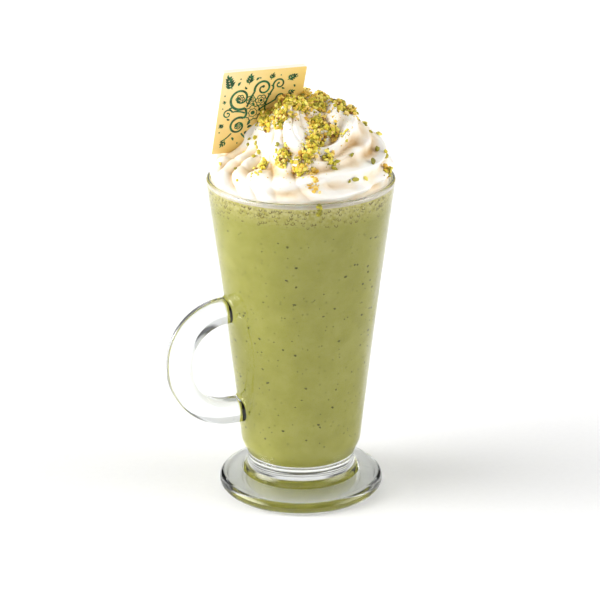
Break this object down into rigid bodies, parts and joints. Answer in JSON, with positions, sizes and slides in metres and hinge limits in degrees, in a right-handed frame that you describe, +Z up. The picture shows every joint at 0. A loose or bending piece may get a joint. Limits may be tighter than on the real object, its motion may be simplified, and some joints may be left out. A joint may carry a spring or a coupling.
{
  "type": "cold salep in a handled glass",
  "caption": "Tall footed glass with a side handle, full of a pale green milk drink under froth, a piped cream mound, chopped nuts and an upright square chocolate plaque.",
  "frame": {"origin": "on the glass's axis, in the plane that its foot rests on", "axes": "+Z up along the glass's axis; the handle points to -X, turned 22 degrees towards -Y; the print on the plaque faces -Y"},
  "size_m": [0.0975, 0.08, 0.1907],
  "materials": {
    "glass": "clear polished",
    "drink": "opaque milky liquid",
    "froth": "fine bubbles",
    "cream": "soft satin",
    "plaque": "smooth satin"
  },
  "bodies": {
    "root": {"glass": "glass", "drink": "drink", "froth": "froth", "cream": "cream", "plaque": "plaque"}
  },
  "joints": []
}
